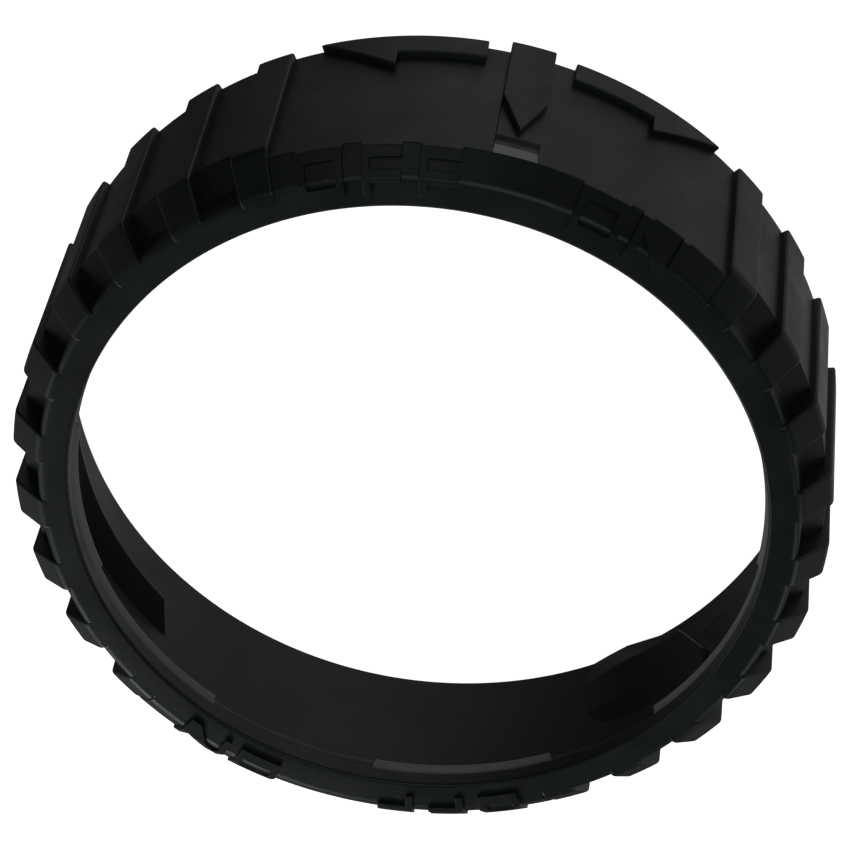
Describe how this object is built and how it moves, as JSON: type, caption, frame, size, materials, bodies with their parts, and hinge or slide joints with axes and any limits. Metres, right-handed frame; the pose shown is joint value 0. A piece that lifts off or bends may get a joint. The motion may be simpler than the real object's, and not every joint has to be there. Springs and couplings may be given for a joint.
{
  "type": "twist-lock ring",
  "caption": "Moulded black plastic twist-lock ring with grip ribs, a flange round the lid hole, lid lips and inner bayonet cams.",
  "frame": {"origin": "centre of the plain rim, on the ring's axis, where the ring stands on a surface", "axes": "+Z along the ring's axis towards the flange, -Y towards the front pointer, +X completes the frame"},
  "size_m": [0.2358, 0.2386, 0.066],
  "materials": {
    "black_plastic": "satin moulded black plastic with a fine texture",
    "black_plastic_smooth": "the same moulding where the tool is polished: lips, cams and stops"
  },
  "bodies": {
    "root": {"bayonet_cam_front": "black_plastic_smooth", "bayonet_cam_rear": "black_plastic_smooth", "bayonet_stop_front": "black_plastic_smooth", "bayonet_stop_rear": "black_plastic_smooth", "grip_rib_01": "black_plastic", "grip_rib_02": "black_plastic", "grip_rib_03": "black_plastic", "grip_rib_04": "black_plastic", "grip_rib_05": "black_plastic", "grip_rib_06": "black_plastic", "grip_rib_07": "black_plastic", "grip_rib_08": "black_plastic", "grip_rib_09": "black_plastic", "grip_rib_10": "black_plastic", "grip_rib_11": "black_plastic", "grip_rib_12": "black_plastic", "grip_rib_13": "black_plastic", "grip_rib_14": "black_plastic", "grip_rib_15": "black_plastic", "grip_rib_16": "black_plastic", "grip_rib_17": "black_plastic", "grip_rib_18": "black_plastic", "grip_rib_19": "black_plastic", "grip_rib_20": "black_plastic", "lid_flange": "black_plastic", "lid_lip_long_front": "black_plastic_smooth", "lid_lip_long_rear": "black_plastic_smooth", "lid_lip_short_front": "black_plastic_smooth", "lid_lip_short_rear": "black_plastic_smooth", "lid_seat": "black_plastic", "off_arrow_front": "black_plastic", "off_arrow_rear": "black_plastic", "off_pad_front": "black_plastic", "off_pad_rear": "black_plastic", "off_word_front": "black_plastic", "off_word_rear": "black_plastic", "on_arrow_front": "black_plastic", "on_arrow_rear": "black_plastic", "on_pad_front": "black_plastic", "on_pad_rear": "black_plastic", "on_word_front": "black_plastic", "on_word_rear": "black_plastic", "pointer_front": "black_plastic", "pointer_rear": "black_plastic", "skirt_wall": "black_plastic"}
  },
  "joints": []
}
